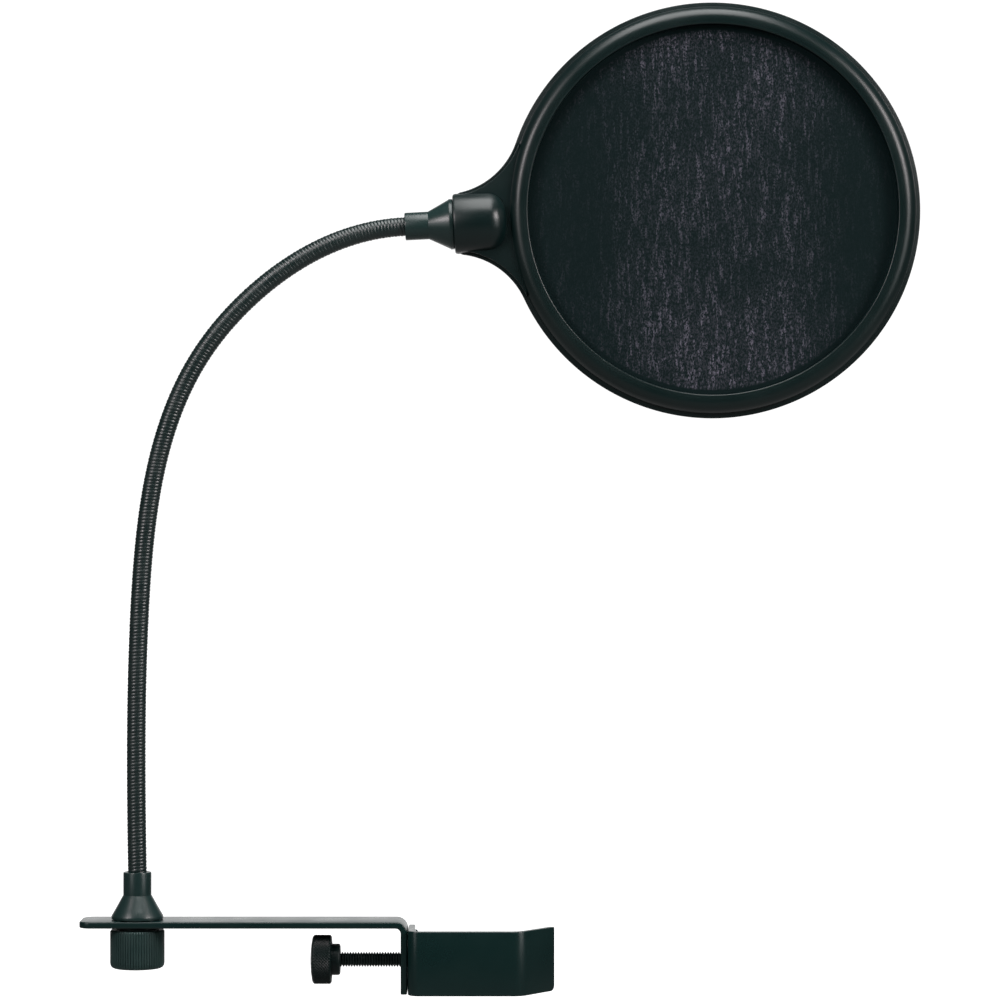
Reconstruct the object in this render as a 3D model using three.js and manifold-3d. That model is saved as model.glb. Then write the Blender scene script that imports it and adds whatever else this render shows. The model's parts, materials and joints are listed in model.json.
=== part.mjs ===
// A pop filter: a round double-mesh screen on a gooseneck, on an arm that clamps to a stand tube.
// Millimetres, +Z up. The origin is the centre of the clamp hook's inner front face. +X runs along
// the arm towards the hook's free end, and the screen's front looks along -Y.
import * as THREE from 'three';
import { mergeVertices } from 'three/addons/utils/BufferGeometryUtils.js';
import Module from 'manifold-3d';

// Clearances and facets
const FIT = 0.3;                  // between pieces that touch, or that turn or slide in each other
const ROUND = 28;                 // facets round a turned piece
const SMALL_ROUND = 12;           // facets round a thin one
const BEND_STEPS = 5;             // facets along the bend of a strap
const EDGE_STEPS = 3;             // facets along a small rounding
const OVERRUN = 1;                // of a cutting tool past what it cuts

// Clamp hook: a strap bent in plan round the stand tube
const STRAP = 2.5;                // thickness of both straps
const STRAP_BEND = 2;             // inside radius of their bends
const HOOK_HEIGHT = 25;
const HOOK_LEG_INNER_X = -19.6;   // inner face of the leg that carries the screw
const HOOK_LEG_DEPTH = 22.5;      // from the inner front face to the leg's rear edge
const HOOK_FRONT_END_X = 21.5;    // where the front turns into the flap
const FLAP_ANGLE = 52;            // degrees that the flap turns backwards
const FLAP_LENGTH = 20.5;
const FLAP_CORNER = 2.2;          // radius of the flap's lower corner

// Arm plate: a long flat strap whose end is bent down beside the hook
const ARM_WIDTH = 20.5;
const ARM_MIDDLE_Y = 12.5;        // the arm, the neck and the screen are centred on this plane
const ARM_RISE = 0.6;             // of its underside above the hook's top edge
const ARM_BEYOND_STUD = 22;       // from the stud to the free end
const ARM_CORNER = 4.6;           // radius of the free end's corners
const STUD_X = -128;

// Rivets between the flange of the arm and the hook
const RIVET = 3.2;
const RIVET_HEAD = 5.4;
const RIVET_HEAD_THICKNESS = 1.2;
const RIVET_FROM_EDGE = 3.4;      // from the hook's top and bottom edges

// Clamp screw, its knob and its pad
const SCREW = 5.8;
const SCREW_LENGTH = 42;          // from the knob's hub to the tip
const SCREW_TANG = 6;             // the end that is held in the knob
const SCREW_TIP = 4.4;            // diameter of the turned tip in the pad
const SCREW_TIP_LENGTH = 3;
const HUB_TO_FLANGE = 23.8;       // the thread between the knob and the arm
const KNOB = 19.2;
const KNOB_THICKNESS = 8.2;
const KNOB_DOME = 0.7;            // how far the knob's face bulges
const KNOB_EDGE = 0.9;            // rounding of its rim
const KNOB_GROOVE = 0.8;          // depth of the dished ring round the hub
const HUB = 12.2;
const HUB_LENGTH = 3.4;
const PAD = 11;
const PAD_THICKNESS = 5;
const PAD_EDGE = 0.8;

// Thumb nut under the arm
const STUD = 8;                   // of both threaded studs, under the neck and in the screen's socket
const NUT = 21.2;
const NUT_HEIGHT = 15;
const NUT_EDGE = 1.2;
const NUT_FLOOR = 2;
const INSERT_WALL = 1.4;
const INSERT_HEIGHT = 8;
const WASHER = 17;
const WASHER_THICKNESS = 0.8;

// Lower ferrule, from the arm upwards
const FERRULE_WALL = 1.2;         // round the wider of the stud and the neck
const FERRULE_BASE = 20.2;
const FERRULE_HEIGHT = 18.3;
const FERRULE_CONE_TOP = 8.7;
const FERRULE_FOOT = 1.1;
const STUD_CLEAR = 1.2;           // between the stud's end and the floor of the nut

// Gooseneck
const NECK = 7.2;
const NECK_WALL = 1.1;
const NECK_LENGTH = 303.5;        // between the mouths of the two ferrules
const NECK_LEANS = [-1, 0, 2, 6, 17.5, 38.5, 59, 84.5];   // degrees from upright, evenly spaced
const NECK_PATH_STEP = 0.5;       // of the sum that turns leans into places
const NECK_PIECES = 9;
const NECK_WALL_STEPS = 3;
const NECK_TUCK = 4;              // of the neck inside each ferrule
const NECK_DOME_IN = 0.4;         // of a piece's rounded end, which turns in the next, inside its wall
const NECK_DOME_STEPS = 2;
const NECK_RIM = 0.8;             // height of a piece's lower rim above its pivot
const NECK_SHOULDER = 2.5;
const CORE = 3;
const CORE_BORE = 1.6;
const CORE_FACETS = 6;
const CORE_SHORT = 1.5;           // of the pivot at each end

// Upper ferrule, from its mouth towards the screen
const HEAD_TURN = 2.5;            // degrees between the end of the neck and the head's axis
const HEAD_FERRULE_WALL = 1.1;
const HEAD_FERRULE_LENGTH = 9.5;
const HEAD_CONE = 19.7;
const HEAD_CONE_LENGTH = 7.6;
const HEAD_LIP = 1.6;

// Screen: ring, socket and web, all along and about the head's axis
const NUT_FLATS_PER_STUD = 1.625; // width of the nut in the socket, across its flats
const NIPPLE_NUT_HEIGHT = 5;
const SOCKET_ROOM = 1.85;         // between that nut's corners and the socket's inside
const SOCKET_WALL = 2.4;
const SOCKET_LENGTH = 18.4;
const SOCKET_ROUND = 5.5;
const SOCKET_EDGE = 1;
const RING = 160.8;               // outer diameter of the bead
const RING_LIP = 0.8;             // how far the parting lip stands out
const RING_LIP_HALF = 1.1;        // its half thickness
const RING_BEAD = 8.3;            // width of the bead, which is half round at the front and the back
const RING_SIDE = 3.35;           // from the middle plane to where the round starts
const RING_WALL = 1.8;
const RING_FROM_SOCKET = 2.4;     // between the socket's round end and the bead
const RING_FACETS = 48;
const BEAD_STEPS = 4;
const WEB_THICKNESS = 8;
const WEB_FILLET = 30;            // radius of its concave edges
const WEB_STEPS = 8;
const MESH = 0.6;
const MESH_LAND = 0.15;           // of the wall's edge that holds a mesh, below where the round starts
const MESH_HOLD = 3.4;            // width of the mesh's edge inside the ring
const SHELL_SCREW = 2.4;
const SHELL_SCREW_HEAD = 4.4;
const SHELL_SCREW_HEAD_HEIGHT = 1.3;
const SHELL_SCREW_BITE = 2.4;     // of the screw in the front half
const SHELL_SCREW_BACK = 0.4;     // from the socket's round end
const SHELL_SCREW_FROM_EDGE = 3.8;   // from the web's concave edge

// Places that follow from the sizes
const DEGREE = Math.PI / 180;
const HOOK_LEG_OUTER_X = HOOK_LEG_INNER_X - STRAP;
const FLANGE_X = HOOK_LEG_OUTER_X - FIT - STRAP;       // the flange's outer face
const ARM_UNDER_Z = HOOK_HEIGHT / 2 + ARM_RISE;
const ARM_TOP_Z = ARM_UNDER_Z + STRAP;
const RIVET_OFFSET = HOOK_HEIGHT / 2 - RIVET_FROM_EDGE;
const INSERT = STUD + 2 * FIT + 2 * INSERT_WALL;
const NECK_BORE = NECK - 2 * NECK_WALL;
const NECK_DOME = NECK - 2 * NECK_DOME_IN;
const FERRULE_HOLE = Math.max(STUD, NECK) + 2 * FIT;
const FERRULE = FERRULE_HOLE + 2 * FERRULE_WALL;
const HEAD_FERRULE = FERRULE_HOLE + 2 * HEAD_FERRULE_WALL;
const FERRULE_Z = ARM_TOP_Z + FIT;
const NECK_Z = FERRULE_Z + FERRULE_HEIGHT;
const NIPPLE_TOP = -NECK_TUCK - FIT;                   // under the neck's lower end
const NIPPLE_NUT_CORNER = NUT_FLATS_PER_STUD * STUD / 2 / Math.cos(Math.PI / 6);
const SOCKET_CAVITY = 2 * (NIPPLE_NUT_CORNER + SOCKET_ROOM);
const SOCKET = SOCKET_CAVITY + 2 * SOCKET_WALL;
const SOCKET_START = HEAD_FERRULE_LENGTH + HEAD_CONE_LENGTH + HEAD_LIP + FIT;
const SOCKET_END = SOCKET_START + SOCKET_LENGTH;
const RING_CENTRE = SOCKET_END + RING_FROM_SOCKET + RING / 2;
const RING_OPENING = RING - 2 * RING_BEAD;
const RING_DEPTH = 2 * RING_SIDE + RING_BEAD;
const MESH_SPREAD = RING_SIDE - MESH_LAND - FIT - MESH / 2;   // from the ring's middle plane

const BLACK_PAINT = { color: 0x15201f, roughness: 0.42, metalness: 0.1 };
const BLACK_PLASTIC = { color: 0x121b1b, roughness: 0.5, metalness: 0 };
const DARK_STEEL = { color: 0x1c2424, roughness: 0.4, metalness: 0.8 };
const BRIGHT_STEEL = { color: 0x9a9c9c, roughness: 0.35, metalness: 1 };
const BRASS = { color: 0xb08d4a, roughness: 0.35, metalness: 1 };
const NYLON = { color: 0x171c1e, roughness: 0.9, metalness: 0 };

const wasm = await Module();
wasm.setup();

// ---------------------------------------------------------------- solids

function toSolid(geometry) {
  const bare = geometry.clone();
  bare.deleteAttribute('normal');
  bare.deleteAttribute('uv');
  const merged = mergeVertices(bare, 1e-4);
  const corners = merged.index.array;
  const triVerts = [];
  for (let i = 0; i < corners.length; i += 3) {
    const [a, b, c] = corners.slice(i, i + 3);
    if (a !== b && b !== c && c !== a) triVerts.push(a, b, c);
  }
  return new wasm.Manifold(new wasm.Mesh({
    numProp: 3,
    vertProperties: new Float32Array(merged.attributes.position.array),
    triVerts: new Uint32Array(triVerts),
  }));
}

function toGeometry(solid) {
  const mesh = solid.getMesh();
  const geometry = new THREE.BufferGeometry();
  geometry.setAttribute('position', new THREE.BufferAttribute(mesh.vertProperties, 3));
  geometry.setIndex(new THREE.BufferAttribute(mesh.triVerts, 1));
  return geometry;
}

function cut(geometry, ...tools) {
  const solid = tools.reduce((rest, tool) => rest.subtract(toSolid(tool)), toSolid(geometry));
  return toGeometry(solid);
}

// A turned piece about +Z. Its profile is [radius, height] pairs, from the axis back to the axis.
function turned(profile, facets = ROUND) {
  const points = profile.map(([radius, height]) => new THREE.Vector2(radius, height));
  return new THREE.LatheGeometry(points, facets).rotateX(Math.PI / 2);
}

// A turned piece with a hole right through: the profile is a closed loop that leaves the axis free.
function turnedRing(loop, facets = ROUND) {
  return turned([...loop, loop[0]], facets);
}

function rod(diameter, bottom, top, facets = SMALL_ROUND) {
  return turned([[0, bottom], [diameter / 2, bottom], [diameter / 2, top], [0, top]], facets);
}

// Points of a quarter circle or part of one, as [radius, height] pairs.
function arc(centreRadius, centreHeight, radius, fromDegrees, toDegrees, steps) {
  return Array.from({ length: steps + 1 }, (_, i) => {
    const angle = (fromDegrees + (toDegrees - fromDegrees) * i / steps) * DEGREE;
    return [centreRadius + radius * Math.cos(angle), centreHeight + radius * Math.sin(angle)];
  });
}

function extruded(points, length) {
  const shape = new THREE.Shape(points);
  return new THREE.ExtrudeGeometry(shape, { depth: length, bevelEnabled: false, steps: 1 });
}

// The outline of a bent strap seen from its edge. The corners run along the strap's middle.
function strapOutline(corners) {
  const bendRadius = STRAP_BEND + STRAP / 2;
  const places = corners.map(([x, y]) => new THREE.Vector2(x, y));
  const left = [];
  const right = [];
  const addStation = (at, across) => {
    left.push(at.clone().addScaledVector(across, STRAP / 2));
    right.push(at.clone().addScaledVector(across, -STRAP / 2));
  };
  const heading = (i) => places[i + 1].clone().sub(places[i]).normalize();
  const acrossOf = (direction) => new THREE.Vector2(-direction.y, direction.x);
  addStation(places[0], acrossOf(heading(0)));
  for (let i = 1; i < places.length - 1; i += 1) {
    const before = heading(i - 1);
    const turn = Math.atan2(before.cross(heading(i)), before.dot(heading(i)));
    const side = Math.sign(turn);
    const start = places[i].clone().addScaledVector(before, -bendRadius * Math.tan(Math.abs(turn) / 2));
    const centre = start.clone().addScaledVector(acrossOf(before), side * bendRadius);
    for (let step = 0; step <= BEND_STEPS; step += 1) {
      const across = acrossOf(before).rotateAround(new THREE.Vector2(), turn * step / BEND_STEPS);
      addStation(centre.clone().addScaledVector(across, -side * bendRadius), across);
    }
  }
  addStation(places.at(-1), acrossOf(heading(places.length - 2)));
  return [...left, ...right.reverse()];
}

function named(name, geometry, finish) {
  const mesh = new THREE.Mesh(geometry, new THREE.MeshStandardMaterial(finish));
  mesh.name = name;
  return mesh;
}

function at(mesh, x, y, z) {
  mesh.position.set(x, y, z);
  return mesh;
}

// ---------------------------------------------------------------- bracket

// The screw and the rivets run along X through the flange and the hook's leg.
const alongX = (geometry) => geometry.rotateY(Math.PI / 2);

function legHoles() {
  const low = FLANGE_X - OVERRUN;
  const high = HOOK_LEG_INNER_X + OVERRUN;
  const hole = (diameter) => alongX(rod(diameter + 2 * FIT, low, high));
  const through = (diameter, z) => hole(diameter).translate(0, ARM_MIDDLE_Y, z);
  return [through(SCREW, 0), through(RIVET, RIVET_OFFSET), through(RIVET, -RIVET_OFFSET)];
}

function armPlate() {
  const flangeMiddleX = FLANGE_X + STRAP / 2;
  const middleZ = ARM_UNDER_Z + STRAP / 2;
  const bottom = [flangeMiddleX, -HOOK_HEIGHT / 2];
  const side = strapOutline([[STUD_X - ARM_BEYOND_STUD, middleZ], [flangeMiddleX, middleZ], bottom]);
  const bent = extruded(side, ARM_WIDTH).rotateX(Math.PI / 2).translate(0, ARM_WIDTH / 2, 0);
  const rounded = toGeometry(toSolid(bent).intersect(toSolid(armPlan())));
  const studHole = rod(STUD + 2 * FIT, ARM_UNDER_Z - OVERRUN, ARM_TOP_Z + OVERRUN, ROUND);
  const holes = [studHole.translate(STUD_X, ARM_MIDDLE_Y, 0), ...legHoles()];
  return named('arm_plate', cut(rounded.translate(0, ARM_MIDDLE_Y, 0), ...holes), BLACK_PAINT);
}

// A tall block with the arm's plan: the free end has round corners.
function armPlan() {
  const half = ARM_WIDTH / 2;
  const cornerX = STUD_X - ARM_BEYOND_STUD + ARM_CORNER;
  const plan = new THREE.Shape();
  plan.moveTo(0, -half);
  plan.lineTo(0, half);
  plan.absarc(cornerX, half - ARM_CORNER, ARM_CORNER, Math.PI / 2, Math.PI);
  plan.absarc(cornerX, ARM_CORNER - half, ARM_CORNER, Math.PI, 1.5 * Math.PI);
  plan.closePath();
  const block = { depth: 2 * HOOK_HEIGHT, bevelEnabled: false, curveSegments: BEND_STEPS };
  return new THREE.ExtrudeGeometry(plan, block).translate(0, 0, -HOOK_HEIGHT);
}

function clampHook() {
  const legX = HOOK_LEG_INNER_X - STRAP / 2;
  const frontY = -STRAP / 2;
  const flapEndX = HOOK_FRONT_END_X + FLAP_LENGTH * Math.cos(FLAP_ANGLE * DEGREE);
  const flapEndY = frontY + FLAP_LENGTH * Math.sin(FLAP_ANGLE * DEGREE);
  const front = [[legX, frontY], [HOOK_FRONT_END_X, frontY]];
  const plan = strapOutline([[legX, HOOK_LEG_DEPTH], ...front, [flapEndX, flapEndY]]);
  const bent = extruded(plan, HOOK_HEIGHT).translate(0, 0, -HOOK_HEIGHT / 2);
  return named('clamp_hook', cut(bent, ...legHoles(), flapCorner(flapEndX)), BLACK_PAINT);
}

// What is cut from the flap's lower corner to round it, seen from the front
function flapCorner(flapEndX) {
  const radius = FLAP_CORNER * Math.cos(FLAP_ANGLE * DEGREE);
  const tipX = flapEndX + STRAP / 2 * Math.sin(FLAP_ANGLE * DEGREE);
  const lowZ = -HOOK_HEIGHT / 2;
  const rounding = arc(tipX - radius, lowZ + radius, radius, 0, -90, EDGE_STEPS);
  const outside = [[tipX - radius, lowZ - OVERRUN], [tipX + OVERRUN, lowZ - OVERRUN]];
  const outline = [...rounding, ...outside, [tipX + OVERRUN, lowZ + radius]];
  const points = outline.map(([x, z]) => new THREE.Vector2(x, z));
  const tool = extruded(points, 2 * FLAP_LENGTH).rotateX(Math.PI / 2);
  return tool.translate(0, FLAP_LENGTH + STRAP, 0);
}

// A rivet is flush with the flange outside and has its head inside the jaw.
function hookRivet(number, z) {
  const headStart = HOOK_LEG_INNER_X + FIT;
  const head = RIVET_HEAD / 2;
  const shank = RIVET / 2;
  const profile = [
    [0, FLANGE_X], [shank, FLANGE_X], [shank, headStart], [head, headStart],
    [head, headStart + RIVET_HEAD_THICKNESS / 2], [head / 2, headStart + RIVET_HEAD_THICKNESS],
    [0, headStart + RIVET_HEAD_THICKNESS],
  ];
  const rivet = named(`hook_rivet_${number}`, alongX(turned(profile, SMALL_ROUND)), BLACK_PAINT);
  return at(rivet, 0, ARM_MIDDLE_Y, z);
}

// ---------------------------------------------- clamp screw, about +X from the hub's face

function clampScrew() {
  const tip = SCREW_TIP / 2;
  const profile = [
    [0, -SCREW_TANG], [SCREW / 2, -SCREW_TANG], [SCREW / 2, SCREW_LENGTH - SCREW_TIP_LENGTH],
    [tip, SCREW_LENGTH - SCREW_TIP_LENGTH], [tip, SCREW_LENGTH], [0, SCREW_LENGTH],
  ];
  return named('clamp_screw', alongX(turned(profile, SMALL_ROUND)), DARK_STEEL);
}

function clampKnob() {
  const rim = KNOB / 2;
  const face = -HUB_LENGTH - KNOB_THICKNESS;
  const bore = SCREW / 2 + FIT;
  const profile = [
    [0, face], [rim / 2, face + KNOB_DOME / 4],
    ...arc(rim - KNOB_EDGE, face + KNOB_DOME + KNOB_EDGE, KNOB_EDGE, -90, 0, EDGE_STEPS),
    ...arc(rim - KNOB_EDGE, -HUB_LENGTH - KNOB_EDGE, KNOB_EDGE, 0, 90, EDGE_STEPS),
    [HUB / 2 + KNOB_GROOVE, -HUB_LENGTH], [HUB / 2, -HUB_LENGTH - KNOB_GROOVE], [HUB / 2, 0], [bore, 0],
    [bore, -SCREW_TANG - FIT], [0, -SCREW_TANG - FIT],
  ];
  return named('clamp_knob', alongX(turned(profile)), BLACK_PLASTIC);
}

function screwPad() {
  const front = SCREW_LENGTH - SCREW_TIP_LENGTH + FIT + PAD_THICKNESS;
  const back = SCREW_LENGTH - SCREW_TIP_LENGTH + FIT;
  const bore = SCREW_TIP / 2 + FIT;
  const profile = [
    [0, SCREW_LENGTH + FIT], [bore, SCREW_LENGTH + FIT], [bore, back], [PAD / 2 - PAD_EDGE, back],
    [PAD / 2, back + PAD_EDGE], [PAD / 2, front - PAD_EDGE], [PAD / 2 - PAD_EDGE, front], [0, front],
  ];
  return named('screw_pad', alongX(turned(profile)), BLACK_PLASTIC);
}

// ---------------------------------------------- thumb nut, about the stud, down from the arm

function nutWasher() {
  const top = -FIT;
  const bottom = top - WASHER_THICKNESS;
  const hole = STUD / 2 + FIT;
  const loop = [[WASHER / 2, bottom], [WASHER / 2, top], [hole, top], [hole, bottom]];
  return named('nut_washer', turnedRing(loop), DARK_STEEL);
}

const NUT_TOP = -2 * FIT - WASHER_THICKNESS;

function thumbNut() {
  const rim = NUT / 2;
  const bottom = NUT_TOP - NUT_HEIGHT;
  const pocket = INSERT / 2 + FIT;
  const bore = STUD / 2 + FIT;
  const profile = [
    [0, bottom], ...arc(rim - NUT_EDGE, bottom + NUT_EDGE, NUT_EDGE, -90, 0, EDGE_STEPS),
    [rim, NUT_TOP - NUT_EDGE / 2], [rim - NUT_EDGE / 2, NUT_TOP], [pocket, NUT_TOP],
    [pocket, NUT_TOP - INSERT_HEIGHT - FIT],
    [bore, NUT_TOP - INSERT_HEIGHT - FIT], [bore, bottom + NUT_FLOOR], [0, bottom + NUT_FLOOR],
  ];
  return named('thumb_nut', turned(profile), BLACK_PLASTIC);
}

function nutInsert() {
  const hole = STUD / 2 + FIT;
  const bottom = NUT_TOP - INSERT_HEIGHT;
  const loop = [[INSERT / 2, bottom], [INSERT / 2, NUT_TOP], [hole, NUT_TOP], [hole, bottom]];
  return named('nut_insert', turnedRing(loop), BRASS);
}

// ---------------------------------------------------------------- gooseneck

// The centre line: it starts upright at the lower ferrule's mouth, and its lean from upright
// changes smoothly between the even stations. Past its ends it runs on straight.
class NeckLine {
  constructor() {
    const stations = NECK_LEANS.map((lean, i) => new THREE.Vector2(i, lean));
    this.leans = new THREE.SplineCurve(stations);
    this.steps = Math.round(NECK_LENGTH / NECK_PATH_STEP);
    this.step = NECK_LENGTH / this.steps;
    this.points = [new THREE.Vector3()];
    for (let i = 0; i < this.steps; i += 1) {
      this.points.push(this.advance(this.points[i], (i + 0.5) * this.step, this.step));
    }
  }

  leanAt(length) {
    const share = THREE.MathUtils.clamp(length / NECK_LENGTH, 0, 1);
    return this.leans.getPoint(share).y * DEGREE;
  }

  advance(point, length, distance) {
    return point.clone().addScaledVector(this.directionAt(length), distance);
  }

  directionAt(length) {
    const lean = this.leanAt(length);
    return new THREE.Vector3(Math.sin(lean), 0, Math.cos(lean));
  }

  pointAt(length) {
    const nearest = THREE.MathUtils.clamp(Math.round(length / this.step), 0, this.steps);
    return this.advance(this.points[nearest], length, length - nearest * this.step);
  }
}

const NECK_LINE = new NeckLine();

// A hollow piece round the centre line. The loop is [radius, length along the neck] pairs.
function bentRing(loop, facets) {
  const positions = [];
  const indices = [];
  for (const [radius, length] of loop) {
    const centre = NECK_LINE.pointAt(length);
    const lean = NECK_LINE.leanAt(length);
    for (let side = 0; side < facets; side += 1) {
      const angle = side / facets * 2 * Math.PI;
      const across = radius * Math.cos(angle);
      const x = centre.x + across * Math.cos(lean);
      positions.push(x, radius * Math.sin(angle), centre.z - across * Math.sin(lean));
    }
  }
  loop.forEach((_, i) => {
    const here = i * facets;
    const next = (i + 1) % loop.length * facets;
    for (let side = 0; side < facets; side += 1) {
      const beside = (side + 1) % facets;
      indices.push(here + side, here + beside, next + beside);
      indices.push(here + side, next + beside, next + side);
    }
  });
  const geometry = new THREE.BufferGeometry();
  geometry.setAttribute('position', new THREE.Float32BufferAttribute(positions, 3));
  geometry.setIndex(indices);
  return geometry;
}

function evenly(radius, from, to, steps) {
  return Array.from({ length: steps + 1 }, (_, i) => [radius, from + (to - from) * i / steps]);
}

const NECK_PITCH = NECK_LENGTH / NECK_PIECES;

// Each piece has a dished lower end and a rounded upper end, both centred on the pivots.
function neckSegment(index) {
  const wall = NECK / 2;
  const bore = NECK_BORE / 2;
  const dome = NECK_DOME / 2;
  const dish = dome + FIT;
  const isFirst = index === 0;
  const isLast = index === NECK_PIECES - 1;
  const low = isFirst ? -NECK_TUCK : index * NECK_PITCH;
  const high = isLast ? NECK_LENGTH + NECK_TUCK : (index + 1) * NECK_PITCH;
  const outerLow = isFirst ? low : low + NECK_RIM;
  const outerHigh = isLast ? high : high - NECK_SHOULDER;
  const domeEnd = Math.acos(bore / dome) / DEGREE;
  const top = isLast ? [] : arc(0, high, dome, 0, domeEnd, NECK_DOME_STEPS);
  const boreHigh = isLast ? high : high - NECK_SHOULDER;
  const dishFrom = Math.acos(bore / dish) / DEGREE;
  const dishTo = Math.asin(NECK_RIM / dish) / DEGREE;
  const bottom = isFirst ? [] : arc(0, low, dish, dishFrom, dishTo, NECK_DOME_STEPS);
  const boreLow = isFirst ? low : low + dish;
  return bentRing([
    ...evenly(wall, outerLow, outerHigh, NECK_WALL_STEPS), ...top,
    ...evenly(bore, boreHigh, boreLow, NECK_WALL_STEPS), ...bottom,
  ], SMALL_ROUND);
}

function neckCore(index) {
  const isLast = index === NECK_PIECES - 1;
  const low = index === 0 ? -NECK_TUCK : index * NECK_PITCH + CORE_SHORT;
  const high = isLast ? NECK_LENGTH + NECK_TUCK : (index + 1) * NECK_PITCH - CORE_SHORT;
  const outside = evenly(CORE / 2, low, high, NECK_WALL_STEPS);
  return bentRing([...outside, ...evenly(CORE_BORE / 2, high, low, NECK_WALL_STEPS)], CORE_FACETS);
}

// The lower ferrule and its threaded stud, about +Z from the neck's start.
function lowerFerrule() {
  const foot = -FERRULE_HEIGHT;
  const wide = STUD / 2 + FIT;
  const narrow = NECK / 2 + FIT;
  const step = NIPPLE_TOP + FIT / 2;
  const loop = [
    [FERRULE_BASE / 2, foot], [FERRULE_BASE / 2, foot + FERRULE_FOOT],
    [FERRULE / 2, foot + FERRULE_CONE_TOP], [FERRULE / 2, 0],
    [narrow, 0], [narrow, step], [wide, step], [wide, foot],
  ];
  return named('lower_ferrule', turnedRing(loop), BLACK_PAINT);
}

function lowerNipple() {
  const armUnder = -FERRULE_HEIGHT - FIT - STRAP;
  const end = armUnder + NUT_TOP - NUT_HEIGHT + NUT_FLOOR + STUD_CLEAR;
  return named('lower_nipple', rod(STUD, end, NIPPLE_TOP, SMALL_ROUND), DARK_STEEL);
}

// ---------------------------------------------------------------- head, about +Z along its own axis

const HEAD_NIPPLE_START = NECK_TUCK + FIT;
const SOCKET_FLOOR = SOCKET_START + SOCKET_WALL;

function upperFerrule() {
  const cone = HEAD_FERRULE_LENGTH + HEAD_CONE_LENGTH;
  const end = cone + HEAD_LIP;
  const narrow = NECK / 2 + FIT;
  const wide = STUD / 2 + FIT;
  const step = HEAD_NIPPLE_START - FIT / 2;
  const loop = [
    [HEAD_FERRULE / 2, 0], [HEAD_FERRULE / 2, HEAD_FERRULE_LENGTH],
    [HEAD_CONE / 2, cone], [HEAD_CONE / 2, end],
    [wide, end], [wide, step], [narrow, step], [narrow, 0],
  ];
  return named('upper_ferrule', turnedRing(loop), BLACK_PAINT);
}

function upperNipple() {
  const end = SOCKET_FLOOR + NIPPLE_NUT_HEIGHT + 3 * FIT;
  return named('upper_nipple', rod(STUD, HEAD_NIPPLE_START, end, SMALL_ROUND), DARK_STEEL);
}

function socketNut() {
  const start = SOCKET_FLOOR + FIT;
  const end = start + NIPPLE_NUT_HEIGHT;
  const hexagon = rod(2 * NIPPLE_NUT_CORNER, start, end, 6);
  const hole = rod(STUD + 2 * FIT, start - OVERRUN, end + OVERRUN);
  return named('socket_nut', cut(hexagon, hole), BRASS);
}

// ---------------------------------------------------------------- screen

// Lays a piece that was made about +Z over, so that its top points to +Y.
const aboutY = (geometry) => geometry.rotateX(-Math.PI / 2);

const MESH_RADIUS = RING_OPENING / 2 + MESH_HOLD;
const SHELL_SCREW_SEAT = WEB_THICKNESS / 2 - SHELL_SCREW_HEAD_HEIGHT;

// Half of the ring, on the +Y side: a bead that is hollow inside, with a lip at the parting plane
function ringHalf() {
  const outer = RING / 2;
  const inner = RING_OPENING / 2;
  const middle = (outer + inner) / 2;
  const half = (outer - inner) / 2;
  const land = RING_SIDE - MESH_LAND;
  const bead = (radius, from, to) => arc(middle, RING_SIDE, radius, from, to, BEAD_STEPS);
  const loop = [
    [outer + RING_LIP, FIT / 2], [outer + RING_LIP, RING_LIP_HALF],
    [outer, RING_LIP_HALF + RING_LIP / 2],
    ...bead(half, 0, 180), [inner, land], [inner + RING_WALL, land],
    ...bead(half - RING_WALL, 180, 0), [outer - RING_WALL, FIT / 2],
  ];
  return aboutY(turnedRing(loop, RING_FACETS)).translate(0, 0, RING_CENTRE);
}

// The centre of the web's concave edge, which runs smoothly from the socket's side into the ring
const EDGE_ASIDE = SOCKET / 2 + WEB_FILLET;
const EDGE_REACH = RING / 2 + RING_LIP + WEB_FILLET;
const EDGE_ALONG = RING_CENTRE - Math.sqrt(EDGE_REACH ** 2 - EDGE_ASIDE ** 2);

// Half of the web, with a concave edge on each side
function webHalf() {
  const past = Math.max(SOCKET_START + SOCKET_EDGE - EDGE_ALONG, 0);
  const start = -Math.acos(past / WEB_FILLET) / DEGREE;
  const end = -Math.asin(EDGE_ASIDE / EDGE_REACH) / DEGREE;
  const edge = arc(EDGE_ALONG, EDGE_ASIDE, WEB_FILLET, start, end, WEB_STEPS);
  const upper = edge.map(([along, aside]) => new THREE.Vector2(-aside, along));
  const lower = edge.map(([along, aside]) => new THREE.Vector2(aside, along)).reverse();
  const outline = [...upper, new THREE.Vector2(0, RING_CENTRE - RING_OPENING / 2), ...lower];
  const web = extruded(outline, WEB_THICKNESS / 2).rotateX(Math.PI / 2);
  const insideOfRing = aboutY(rod(RING - RING_WALL, -RING_DEPTH, RING_DEPTH, RING_FACETS));
  return cut(web.translate(0, WEB_THICKNESS / 2, 0), insideOfRing.translate(0, 0, RING_CENTRE));
}

function socketOuter() {
  const rim = SOCKET / 2;
  const round = arc(rim - SOCKET_ROUND, SOCKET_END - SOCKET_ROUND, SOCKET_ROUND, 0, 90, BEAD_STEPS);
  const edge = [[rim - SOCKET_EDGE, SOCKET_START], [rim, SOCKET_START + SOCKET_EDGE]];
  return turned([[0, SOCKET_START], ...edge, ...round, [0, SOCKET_END]]);
}

function socketCavity() {
  const wide = SOCKET_CAVITY / 2;
  const end = SOCKET_END - SOCKET_WALL;
  const corner = SOCKET_ROUND - SOCKET_WALL;
  const hole = STUD / 2 + FIT;
  const before = SOCKET_START - OVERRUN;
  const round = arc(wide - corner, end - corner, corner, 0, 90, EDGE_STEPS);
  const mouth = [[0, before], [hole, before], [hole, SOCKET_FLOOR]];
  return turned([...mouth, [wide, SOCKET_FLOOR], ...round, [0, end]]);
}

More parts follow.
